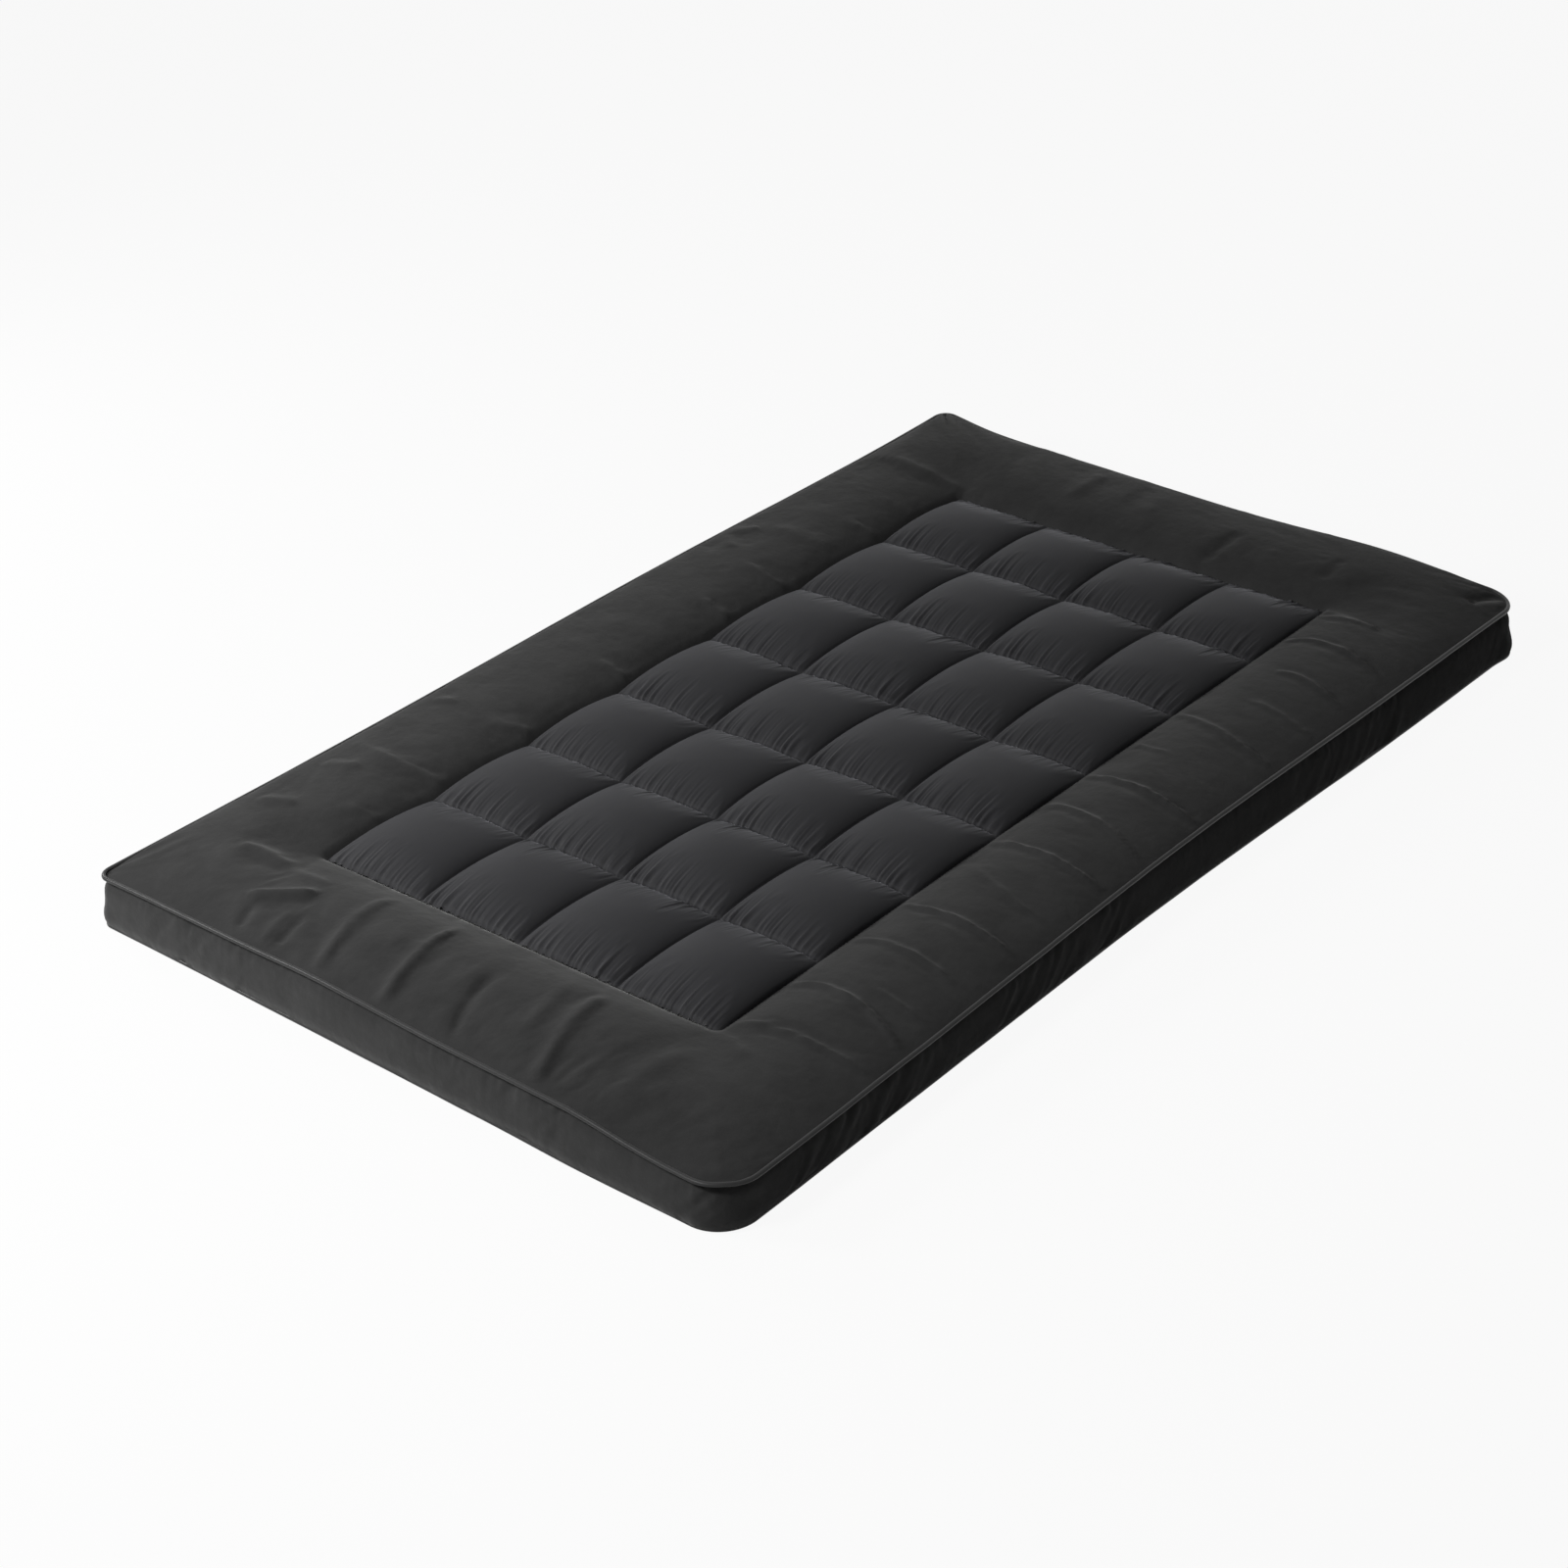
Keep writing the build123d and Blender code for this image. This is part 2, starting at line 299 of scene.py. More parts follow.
def lie(points):
    """How the stuffed mattress lies: its sides draw in and sway, and its edges rise and sag."""
    half_x = TOP_PIPING_HIGH.x
    half_y = -TOP_PIPING_LOW.y
    x, y, z = points.T.copy()
    right, left = np.clip(x / half_x, 0, 1.01), np.clip(-x / half_x, 0, 1.01)
    head, foot = np.clip(y / half_y, 0, 1.01), np.clip(-y / half_y, 0, 1.01)
    low = 1 - np.clip(z / BAND_HIGH.z, 0, 1)
    # The right side draws in at its middle, splays towards the head, and more so at the bottom.
    splay = ease(y, -0.3, 0.8)
    right_x = 11 * MM * splay - sizes().waist * bell(y, 0.1, 0.4) + 8 * MM * splay * low
    left_x = 3 * MM * (1 - ease(y, -0.8, 0.4)) - 2 * MM * bell(y, 0.3, 0.4) - 4 * MM * low
    # The head end: an ear at the left corner and a swell right of the middle, in plan and height.
    head_sway = bell(x, -0.60, 0.10) + 0.8 * bell(x, 0.33, 0.17) - 0.45
    # The foot end spreads at the bottom, and its right-hand corner sags.
    foot_y = (5 + 4 * bell(x, 0.35, 0.12)) * MM * low
    corner = np.maximum(foot**8 * ease(x, 0.28, 0.5), right**4 * (1 - ease(y, -0.95, 0.2)))
    # The filling bows each tuft's left seam outwards between the cross seams.
    in_tuft = (y - PANEL_LOW.y) / (PANEL_HIGH_Y - PANEL_LOW.y) * ROWS
    within = (in_tuft > 0) & (in_tuft < ROWS)
    bow = np.where(within, np.abs(np.sin(np.pi * in_tuft)), 0) ** 0.8
    bow *= 1 - ease(x, 0.05, PANEL_HIGH.x) - ease(-x, PANEL_HIGH.x, PANEL_HIGH.x + 0.09)
    # The rows of tufts are uneven and their cross seams slant a little.
    in_field = 1 - ease(np.abs(x), PANEL_HIGH.x, half_x)
    in_field *= 1 - ease(np.abs(y), PANEL_HIGH_Y, half_y)
    uneven = (9 * MM - 24 * MM * bell(y, -0.08, 0.33) + 0.027 * x) * in_field
    drift = -8 * MM * np.clip(x / PANEL_HIGH.x, -1, 1) ** 2 * in_field
    low_corner = low * ease(x, half_x - 0.1, half_x) * ease(y, half_y - 0.1, half_y)
    sway_x = 1.5 * MM * np.sin(y / 0.19 + 1.0) * np.sin(x / 0.3)
    sway_x += 10 * MM * low_corner - 6 * MM * bow + drift
    sway_y = 1.5 * MM * np.sin(x / 0.13 + 0.5) * np.cos(y / 0.5) + uneven
    moved_x = x + right_x * right**2 + left_x * left**2 + sway_x
    moved_y = y + 9 * MM * head_sway * head**8 - foot_y * foot**8 + sway_y
    lift = 10 * MM * head_sway * head**8 + 5 * MM * bell(x, -0.13, 0.12) * foot**8
    lift -= 16 * MM * corner + 5 * MM * (1 - ease(y, -0.8, 0.4)) * left**4
    return np.stack([moved_x, moved_y, z * (1 + lift / BAND_HIGH.z)], 1)


def split_at_join(obj, name):
    """Cuts a cover piece in two at a cross seam.

    Both halves keep the whole piece's shading along the cut.
    """
    cut = FOOT_FOLD + (HEAD_FOLD - FOOT_FOLD) * 2 / 3
    whole = bmesh.new()
    whole.from_mesh(obj.data)
    every = whole.verts[:] + whole.edges[:] + whole.faces[:]
    bmesh.ops.bisect_plane(
        whole, geom=every, dist=0.2 * MM, plane_co=(0, cut, 0), plane_no=(0, 1, 0),
    )
    whole.normal_update()
    shading = whole.verts.layers.float_vector.new("whole_normal")
    for vert in whole.verts:
        vert[shading] = vert.normal
    halves = []
    for end, start, side in (("foot", FOOT_FOLD, 1), ("head", HEAD_FOLD, -1)):
        half = whole.copy()
        outside = [f for f in half.faces if side * (f.calc_center_median().y - cut) > 0]
        bmesh.ops.delete(half, geom=outside, context="FACES")
        piece = new_object(f"{name}_{end}_half", half)
        normals = np.empty(len(piece.data.vertices) * 3)
        piece.data.attributes["whole_normal"].data.foreach_get("vector", normals)
        piece.data.normals_split_custom_set_from_vertices(normals.reshape(-1, 3).tolist())
        piece.data.attributes.remove(piece.data.attributes["whole_normal"])
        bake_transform(piece)
        halves.append(piece)
    whole.free()
    bpy.data.objects.remove(obj)
    return halves


def stand_for(halves, kinds, material):
    """A cover piece's halves take the place of these kinds of CAD node, and get their finish."""
    for kind in kinds:
        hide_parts(f"{kind}_foot", f"{kind}_middle")
        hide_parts(f"{kind}_head")
    for half in halves:
        half.data.materials.append(material)


# Materials.


def linear(hex_colour):
    """An sRGB hex colour as a linear RGBA colour."""
    channels = [int(hex_colour[i:i + 2], 16) / 255 for i in (1, 3, 5)]
    return [c / 12.92 if c <= 0.04045 else ((c + 0.055) / 1.055) ** 2.4 for c in channels] + [1.0]


def shade(hex_colour, share):
    """A share of a colour's light, as a linear RGBA colour."""
    return [share * c for c in linear(hex_colour)[:3]] + [1.0]


def set_inputs(tree, node, **links):
    """Sets a node's inputs. Each is a name or _number, with a value or another node's output."""
    for key, value in links.items():
        socket = node.inputs[int(key[1:]) if key[1:].isdigit() else key.replace("_", " ")]
        if isinstance(value, bpy.types.NodeSocket):
            tree.links.new(value, socket)
        else:
            socket.default_value = value


def add_node(tree, kind, settings=None, **links):
    """Adds a node with its settings and its inputs."""
    node = tree.nodes.new(kind)
    for key, value in (settings or {}).items():
        setattr(node, key, value)
    set_inputs(tree, node, **links)
    return node


def new_material(name):
    """An empty material with its Principled shader."""
    material = bpy.data.materials.new(name)
    material.use_nodes = True
    tree = material.node_tree
    return material, tree, tree.nodes["Principled BSDF"]


def brushed_twill(name, hex_colour):
    """Brushed cotton-polyester twill: matt, with a short nap that softens and mottles it."""
    material, tree, shader = new_material(name)
    place = add_node(tree, "ShaderNodeTexCoord").outputs["Object"]
    # Nap brushed one way and the other, in patches about 60 mm across.
    nap = add_node(
        tree, "ShaderNodeTexNoise", Vector=place, Scale=1 / (60 * MM), Detail=4.0, Roughness=0.6,
    )
    # Threads 0.5 mm apart, drawn 2 mm apart so that they show, over crumples 14 mm apart.
    weave = add_node(tree, "ShaderNodeTexNoise", Vector=place, Scale=1 / (2 * MM), Detail=2.0)
    crumple = add_node(tree, "ShaderNodeTexNoise", Vector=place, Scale=1 / (14 * MM), Detail=3.0)
    mottle = add_node(
        tree, "ShaderNodeMix", {"data_type": "RGBA"}, _0=nap.outputs["Fac"],
        _6=shade(hex_colour, 0.6), _7=shade(hex_colour, 1.42),
    )
    soft = add_node(
        tree, "ShaderNodeBump", Height=crumple.outputs["Fac"], Strength=0.5, Distance=1.6 * MM,
    )
    bump = add_node(
        tree, "ShaderNodeBump", Height=weave.outputs["Fac"], Normal=soft.outputs["Normal"],
        Strength=0.35, Distance=0.35 * MM,
    )
    set_inputs(
        tree, shader, Base_Color=mottle.outputs[2], Normal=bump.outputs["Normal"], Roughness=0.85,
        Specular_IOR_Level=0.06, Sheen_Weight=0.25, Sheen_Roughness=0.5,
        Sheen_Tint=(0.75, 0.75, 0.74, 1.0),
    )
    return material


def cotton_sateen(name, hex_colour):
    """Black cotton sateen: long floats give it a soft cool lustre, brighter across its threads."""
    material, tree, shader = new_material(name)
    place = add_node(tree, "ShaderNodeTexCoord").outputs["Object"]
    # Floats run along the mattress: 0.4 mm threads, drawn 1.5 mm apart and ten times as long.
    along = add_node(tree, "ShaderNodeMapping", Vector=place, Scale=(1.0, 0.1, 1.0))
    floats = add_node(
        tree, "ShaderNodeTexNoise", Vector=along.outputs[0], Scale=1 / (1.5 * MM), Detail=2.0,
    )
    cloud = add_node(tree, "ShaderNodeTexNoise", Vector=place, Scale=1 / (90 * MM), Detail=3.0)
    mottle = add_node(
        tree, "ShaderNodeMix", {"data_type": "RGBA"}, _0=cloud.outputs["Fac"],
        _6=shade(hex_colour, 0.88), _7=shade(hex_colour, 1.12),
    )
    bump = add_node(
        tree, "ShaderNodeBump", Height=floats.outputs["Fac"], Strength=0.2, Distance=0.2 * MM,
    )
    set_inputs(
        tree, shader, Base_Color=mottle.outputs[2], Normal=bump.outputs["Normal"], Roughness=0.55,
        Specular_IOR_Level=0.07, Sheen_Weight=0.2, Sheen_Roughness=0.35,
        Sheen_Tint=(0.78, 0.79, 0.84, 1.0),
    )
    return material


def bias_twill(name, hex_colour):
    """Twill cut on the bias and pulled tight round a cord: smooth, with slanting threads."""
    material, tree, shader = new_material(name)
    place = add_node(tree, "ShaderNodeTexCoord").outputs["Object"]
    # Twill lines 0.6 mm apart, drawn 4 mm apart: the texture has 3.2 bands to a unit of its scale.
    slant = add_node(tree, "ShaderNodeMapping", Vector=place, Rotation=(0.0, 0.0, math.radians(45)))
    lines = add_node(
        tree, "ShaderNodeTexWave", Vector=slant.outputs[0], Scale=1 / (12.6 * MM), Distortion=2.0,
    )
    bump = add_node(
        tree, "ShaderNodeBump", Height=lines.outputs["Fac"], Strength=0.2, Distance=0.1 * MM,
    )
    set_inputs(
        tree, shader, Base_Color=linear(hex_colour), Normal=bump.outputs["Normal"], Roughness=0.32,
        Specular_IOR_Level=0.18,
    )
    return material


def polyester_thread(name, hex_colour):
    """Bonded polyester thread: darker than the cloth, with a slight gloss on its ply."""
    material, tree, shader = new_material(name)
    place = add_node(tree, "ShaderNodeTexCoord").outputs["Object"]
    ply = add_node(tree, "ShaderNodeTexNoise", Vector=place, Scale=1 / (0.8 * MM), Detail=1.0)
    bump = add_node(
        tree, "ShaderNodeBump", Height=ply.outputs["Fac"], Strength=0.4, Distance=0.1 * MM,
    )
    normal = bump.outputs["Normal"]
    set_inputs(tree, shader, Base_Color=linear(hex_colour), Normal=normal, Roughness=0.45)
    return material


def open_cell_foam(name, hex_colour):
    """Open-cell polyurethane foam: matt cream, pitted all over with cells about 1 mm wide."""
    material, tree, shader = new_material(name)
    place = add_node(tree, "ShaderNodeTexCoord").outputs["Object"]
    cells = add_node(tree, "ShaderNodeTexVoronoi", Vector=place, Scale=1 / (1.5 * MM))
    bump = add_node(
        tree, "ShaderNodeBump", Height=cells.outputs["Distance"], Strength=0.6, Distance=0.5 * MM,
    )
    normal = bump.outputs["Normal"]
    set_inputs(tree, shader, Base_Color=linear(hex_colour), Normal=normal, Roughness=0.95)
    return material


def spun_nonwoven(name, hex_colour):
    """Spun-bonded polypropylene sheet: white, point-bonded in a fine grid."""
    material, tree, shader = new_material(name)
    place = add_node(tree, "ShaderNodeTexCoord").outputs["Object"]
    points = add_node(
        tree, "ShaderNodeTexVoronoi", Vector=place, Scale=1 / (3 * MM), Randomness=0.2,
    )
    bump = add_node(
        tree, "ShaderNodeBump", Height=points.outputs["Distance"], Strength=0.3, Distance=0.2 * MM,
    )
    normal = bump.outputs["Normal"]
    set_inputs(tree, shader, Base_Color=linear(hex_colour), Normal=normal, Roughness=0.7)
    return material


# Pieces.

# One tuft's cloth: columns of points across it and rows along it, how many kinds of it there are,
# and how many columns lie between the stitches of its cross seams.
TUFT_ACROSS = 90
TUFT_ALONG = 60
TUFT_KINDS = 4
POINTS_PER_STITCH = 3
# The strip of panel cloth between the last row of tufts and the border.
HEAD_STRIP = 12 * MM


def tuft_cloths():
    """Simulates a few tufts: their points by kind, row and column, with seams at height 0."""
    width = (PANEL_HIGH.x - PANEL_LOW.x) / COLUMNS
    length = (HEAD_FOLD - FOOT_FOLD) / 3
    full = sizes().tuft_fullness
    spacing = 2 * width
    obj, kind, column, row = cloth_grid("tuft_cloth", TUFT_ACROSS, TUFT_ALONG, TUFT_KINDS)
    u = column / TUFT_ACROSS
    v = row / TUFT_ALONG
    shift = kind * spacing
    # Puckers start beside the cross seams, each a random height, and die away from them.
    random = np.random.default_rng(sizes().seed)
    pucker = np.abs(random.normal(0, 2.3 * MM, (TUFT_KINDS, TUFT_ACROSS + 1, 2)))
    clear_of_sides = np.clip(np.minimum(u, 1 - u) / 0.04, 0, 1)
    near = pucker[kind, column, 0] * np.exp(-v * length / (30 * MM))
    far = 0.6 * pucker[kind, column, 1] * np.exp(-(1 - v) * length / (25 * MM))
    dome = 1.1 * full * np.sin(np.pi * u) ** 0.4 * np.sin(np.pi * v) ** 0.5
    start = np.stack([u * width + shift, v * length, dome + clear_of_sides * (near + far)], 1)
    # The cloth is cut wider than its seams across the tuft, most of all at its lower seam, and
    # longer than its seams along the tuft's middle only.
    wider = 1 + sizes().gathers * (1 - 0.3 * v)
    longer = 1 + 0.11 * np.sin(np.pi * u) ** 0.5
    cut_x = (u - 0.5) * width * wider + shift
    cut_y = (v - 0.5) * length * longer
    cut = np.stack([cut_x, cut_y, np.zeros(len(u))], 1)
    sides = (column == 0) | (column == TUFT_ACROSS)
    ends = (row == 0) | (row == TUFT_ALONG)
    sewn = sides | (ends & (column % POINTS_PER_STITCH == 0))
    points = stuffed(obj, start, cut, sewn, pressure=8.0, bending=0.002, frames=20)
    bpy.data.objects.remove(obj)
    points = points - np.stack([shift, np.zeros(len(u)), np.zeros(len(u))], 1)
    grid = np.empty((TUFT_KINDS, TUFT_ALONG + 1, TUFT_ACROSS + 1, 3))
    grid[kind, row, column] = points
    return grid


def quilted_points():
    """The whole quilted panel's points by row and column: the simulated tufts side by side."""
    random = np.random.default_rng(sizes().seed + 1)
    cloths = tuft_cloths()
    width = (PANEL_HIGH.x - PANEL_LOW.x) / COLUMNS
    length = (HEAD_FOLD - FOOT_FOLD) / 3
    shape = (ROWS * TUFT_ALONG + 1, COLUMNS * TUFT_ACROSS + 1)
    total = np.zeros(shape + (3,))
    count = np.zeros(shape + (1,))
    for row in range(ROWS):
        for column in range(COLUMNS):
            tuft = cloths[random.integers(TUFT_KINDS)].copy()
            if random.random() < 0.5:
                tuft = tuft[:, ::-1]
                tuft[:, :, 0] = width - tuft[:, :, 0]
            tuft[:, :, 2] *= random.uniform(0.94, 1.04)
            tuft += (PANEL_LOW.x + column * width, PANEL_LOW.y + row * length, 0)
            down = slice(row * TUFT_ALONG, (row + 1) * TUFT_ALONG + 1)
            over = slice(column * TUFT_ACROSS, (column + 1) * TUFT_ACROSS + 1)
            total[down, over] += tuft
            count[down, over] += 1
    points = total / count
    # Past the last row's seam a flat strip of the panel's own cloth runs on to the border.
    last = (ROWS - 1) * TUFT_ALONG
    start = points[last, :, 1].mean()
    points[last:-1, :, 1] = start + (points[last:-1, :, 1] - start) * (1 - HEAD_STRIP / length)
    points[:, :, 2] += PANEL_LOW.z + SEAM_RISE
    return points


class MATTRESS_OT_quilted_panel(bpy.types.Operator):
    """Simulates the tufts of the quilted panel, and sews their stitches"""

    bl_idname = "mattress.quilted_panel"
    bl_label = "Quilted Panel"

    def execute(self, context):
        obj, _, column, row = cloth_grid("quilted_panel", COLUMNS * TUFT_ACROSS, ROWS * TUFT_ALONG)
        grid = quilted_points()
        write_points(obj.data, lie(grid[row, column]))
        halves = split_at_join(obj, "quilted_panel")
        sateen = cotton_sateen("cotton sateen", finish().sateen)
        stand_for(halves, ["quilted_panel"], sateen)
        self.stitch(grid)
        return {"FINISHED"}

    def stitch(self, grid):
        """Lays one stitch at each point where the cloth is held down along its seams."""
        places, turns = [], []
        for line in range(ROWS + 1):
            columns = range(1, grid.shape[1] - 1, POINTS_PER_STITCH)
            places += [grid[line * TUFT_ALONG, column] for column in columns]
            turns += [0.0] * len(columns)
        for line in range(COLUMNS + 1):
            rows = range(1, grid.shape[0] - 1, 2)
            places += [grid[row, line * TUFT_ACROSS] for row in rows]
            turns += [math.pi / 2] * len(rows)
        bm = bmesh.new()
        stitch = Matrix.Diagonal((0.4 * sizes().stitch_length, 0.5 * MM, 0.45 * MM, 1))
        bmesh.ops.create_uvsphere(bm, u_segments=6, v_segments=4, radius=1.0, matrix=stitch)
        points_each = len(bm.verts)
        obj = new_object("quilting_stitches", bm)
        row = obj.modifiers.new("Row", "ARRAY")
        row.count = len(places)
        row.use_relative_offset = False
        bake_modifiers(obj)
        points = read_points(obj.data)
        turn = np.repeat(turns, points_each)
        x = points[:, 0] * np.cos(turn) - points[:, 1] * np.sin(turn)
        y = points[:, 0] * np.sin(turn) + points[:, 1] * np.cos(turn)
        laid = lie(np.array(places)) + (0, 0, 0.3 * MM)
        points = np.stack([x, y, points[:, 2]], 1) + np.repeat(laid, points_each, axis=0)
        write_points(obj.data, points)
        halves = split_at_join(obj, "quilting_stitches")
        thread = polyester_thread("polyester thread", finish().thread)
        stand_for(halves, ["quilting_stitches"], thread)


# The border's cloth: points from the quilted field out to the piping, and along the field's edges.
# Its crown stands this far above the tufts, and its overstuffed rolls this far above their piping.
BORDER_OUT = 44
FIELD_ACROSS = 206
FIELD_ALONG = 434
CROWN_RISE = 2.5 * MM
ROLL_RISE = 10 * MM
ROLL_RADIUS = 13 * MM
ROLL_LEAN = 4 * MM
LIP_RISE = 7 * MM
# How much deeper the folds are than the heights in their lists.
FOLD_DEPTH = 1.15

# Folds that stay in the border's cloth. Each runs through three places in plan (x, y), and then has
# its width and its height, all in mm. A groove has a height below nothing.
RIGHT_FOLDS = (
    (368, 727, 439, 730, 477, 726, 5.6, 3.2), (368, 627, 459, 630, 546, 610, 5.6, 3.6),
    (431, 505, 479, 510, 552, 491, 5.6, 3.2), (452, 399, 508, 399, 562, 388, 6.4, 1.7),
    (370, 323, 463, 295, 560, 276, 6.4, 3.2), (371, 211, 412, 199, 434, 197, 4.8, 2.6),
    (369, 96, 474, 86, 567, 73, 5.6, 4.8), (370, -5, 450, -19, 558, -59, 5.6, 3.6),
    (370, -136, 474, -146, 561, -157, 5.6, 4.8), (378, -213, 473, -263, 542, -272, 6.4, 1.9),
    (369, -360, 472, -362, 557, -364, 5.6, 4.8), (369, -475, 461, -470, 538, -472, 5.6, 3.6),
    (478, -566, 514, -565, 558, -564, 5.6, 2.2), (367, -617, 464, -605, 561, -625, 5.6, 4.8),
    (366, -734, 467, -714, 563, -698, 5.6, 3.2), (370, -769, 408, -783, 438, -792, 8, 3.2),
)
FOOT_FOLDS = (
    (389, -819, 359, -917, 395, -981, 16.1, 3), (294, -913, 295, -949, 295, -979, 10.3, 1.5),
    (200, -801, 219, -895, 255, -989, 11.5, 5.1), (144, -805, 160, -867, 181, -922, 11.5, 2),
    (55, -854, 72, -924, 102, -979, 10.3, -4.1), (-73, -793, -50, -913, -24, -985, 10.3, 5.1),
    (-197, -796, -181, -893, -149, -987, 10.3, 4.6), (-249, -911, -242, -951, -238, -976, 8, -2.6),
    (-272, -915, -268, -955, -261, -981, 8, 2), (-329, -937, -320, -958, -313, -977, 6.9, -2.6),
    (-275, -860, -312, -895, -356, -922, 10.3, 7), (-277, -832, -356, -833, -446, -826, 10.3, 3.5),
)
HEAD_FOLDS = (
    (318, 822, 318, 860, 310, 903, 13, -3), (111, 782, 120, 839, 120, 887, 13, -3.5),
    (201, 809, 204, 845, 200, 888, 13, 1.1), (-29, 796, -38, 833, -59, 897, 15.6, 1.5),
    (-191, 836, -189, 892, -193, 953, 13, 2.4), (-324, 858, -339, 889, -365, 921, 15.6, -1.5),
    (531, 922, 541, 950, 550, 989, 11.7, -3.9), (-326, 765, -339, 776, -350, 781, 7.8, 3),
    (429, 771, 434, 831, 437, 875, 15.6, 1.1), (-87, 854, -91, 908, -96, 960, 15.6, -1.5),
)
LEFT_FOLDS = (
    (-365, 772, -409, 768, -551, 761, 14.4, 5.1), (-364, 649, -397, 644, -435, 640, 14.4, 2),
    (-367, 535, -391, 534, -420, 531, 10.8, 3), (-380, 448, -443, 433, -515, 433, 16.8, 2),
    (-364, 302, -405, 295, -457, 298, 10.8, 3.4), (-363, 172, -396, 165, -432, 172, 10.8, 3.4),
    (-364, -74, -390, -80, -425, -86, 10.8, 3.4), (-367, -299, -393, -320, -428, -343, 12, 3),
    (-366, -505, -429, -526, -542, -528, 10.8, 3.4), (-364, -643, -391, -652, -418, -659, 10.8, 2),
    (-363, -822, -406, -828, -491, -833, 10.8, 4.4), (-486, -570, -514, -590, -546, -599, 12, 3),
    (-481, -705, -513, -720, -546, -733, 12, 3), (-517, -336, -534, -350, -553, -359, 10.8, 2.6),
    (-531, 412, -542, 393, -568, 381, 12, 2.6), (-514, 323, -535, 338, -561, 357, 12, 2.6),
)


def fold_height(flat, fold):
    """How high one fold stands at each point: a ridge with a shallow hollow along each side."""
    start, middle, end = (MM * np.array(fold[i:i + 2]) for i in (0, 2, 4))
    width, height = MM * fold[6], MM * fold[7]
    along = np.linspace(0, 1, 25)[:, None]
    bend = 2 * middle - (start + end) / 2
    path = (1 - along) ** 2 * start + 2 * along * (1 - along) * bend + along**2 * end
    low, high = path.min(0) - 6 * width, path.max(0) + 6 * width
    near = np.nonzero(((flat > low) & (flat < high)).all(1))[0]
    gaps = np.hypot(*(flat[near, None, :] - path[None]).transpose(2, 0, 1))
    nearest = gaps.argmin(1)
    gap = gaps.min(1) / width
    share = along[nearest, 0]
    swell = ease(share, -0.05, 0.15) * ease(1 - share, -0.1, 0.2)
    result = np.zeros(len(flat))
    result[near] = height * swell * (bell(gap, 0, 1) - 0.2 * bell(gap, 2.5, 1.4))
    return result


def plan_grid(name, hole):
    """A grid of cloth over the mattress's whole plan, its lines falling on the edges of the field.

    Returns the object, its flat points, and each one's distances from the field, and from the left,
    right, foot and head edges, before the corners are rounded.
    """
    half_x = TOP_PIPING_HIGH.x - 1.5 * sizes().piping_radius
    half_y = -TOP_PIPING_LOW.y - 1.5 * sizes().piping_radius
    field_x = PANEL_HIGH.x
    field_y = -PANEL_LOW.y
    columns = 2 * BORDER_OUT + FIELD_ACROSS
    rows = 2 * BORDER_OUT + FIELD_ALONG
    obj, _, column, row = cloth_grid(name, columns, rows)

    def place(index, count, field, half):
        # Lines close up towards the piping, where the cloth turns most.
        from_middle = np.abs(index - count / 2) - (count / 2 - BORDER_OUT)
        out = 1 - (1 - np.clip(from_middle / BORDER_OUT, 0, 1)) ** 1.6
        inside = (index - count / 2) / (count / 2 - BORDER_OUT) * field
        outside = np.sign(index - count / 2) * (field + out * (half - field))
        return np.where(from_middle > 0, outside, inside), out

    x, out_x = place(column, columns, field_x, half_x)
    y, out_y = place(row, rows, field_y, half_y)
    from_field = np.hypot(np.maximum(np.abs(x) - field_x, 0), np.maximum(np.abs(y) - field_y, 0))
    edges = (half_x + x, half_x - x, half_y + y, half_y - y)
    # Each ring round the field has corners a little rounder than the ring inside it.
    out = np.maximum(out_x, out_y)
    ring_x = field_x + (half_x - field_x) * out
    ring_y = field_y + (half_y - field_y) * out
    head_left, foot_left, foot_right, head_right = sizes().corner_radii
    radius = np.where(
        y > 0, np.where(x > 0, head_right, head_left), np.where(x > 0, foot_right, foot_left)
    )
    radius = (radius - sizes().piping_radius / 2) * out**3 + 1e-6
    over_x = (np.abs(x) - ring_x) / radius + 1
    over_y = (np.abs(y) - ring_y) / radius + 1
    angle = np.where(over_x > over_y, over_y, 2 - over_x) * math.pi / 4
    turned = (over_x > 0) & (over_y > 0) & (out > 0)
    x = np.where(turned, np.sign(x) * (ring_x - radius + radius * np.cos(angle)), x)
    y = np.where(turned, np.sign(y) * (ring_y - radius + radius * np.sin(angle)), y)
    results = [x, y, from_field, *edges]
    if hole:
        deep_x = (column > BORDER_OUT + 1) & (column < columns - BORDER_OUT - 1)
        inside = deep_x & (row > BORDER_OUT + 1) & (row < rows - BORDER_OUT - 1)
        with opened(obj) as bm:
            bm.verts.ensure_lookup_table()
            bmesh.ops.delete(bm, geom=[bm.verts[i] for i in np.nonzero(inside)[0]], context="VERTS")
        results = [values[~inside] for values in results]
    return obj, np.stack(results[:2], 1), results[2], results[3:]


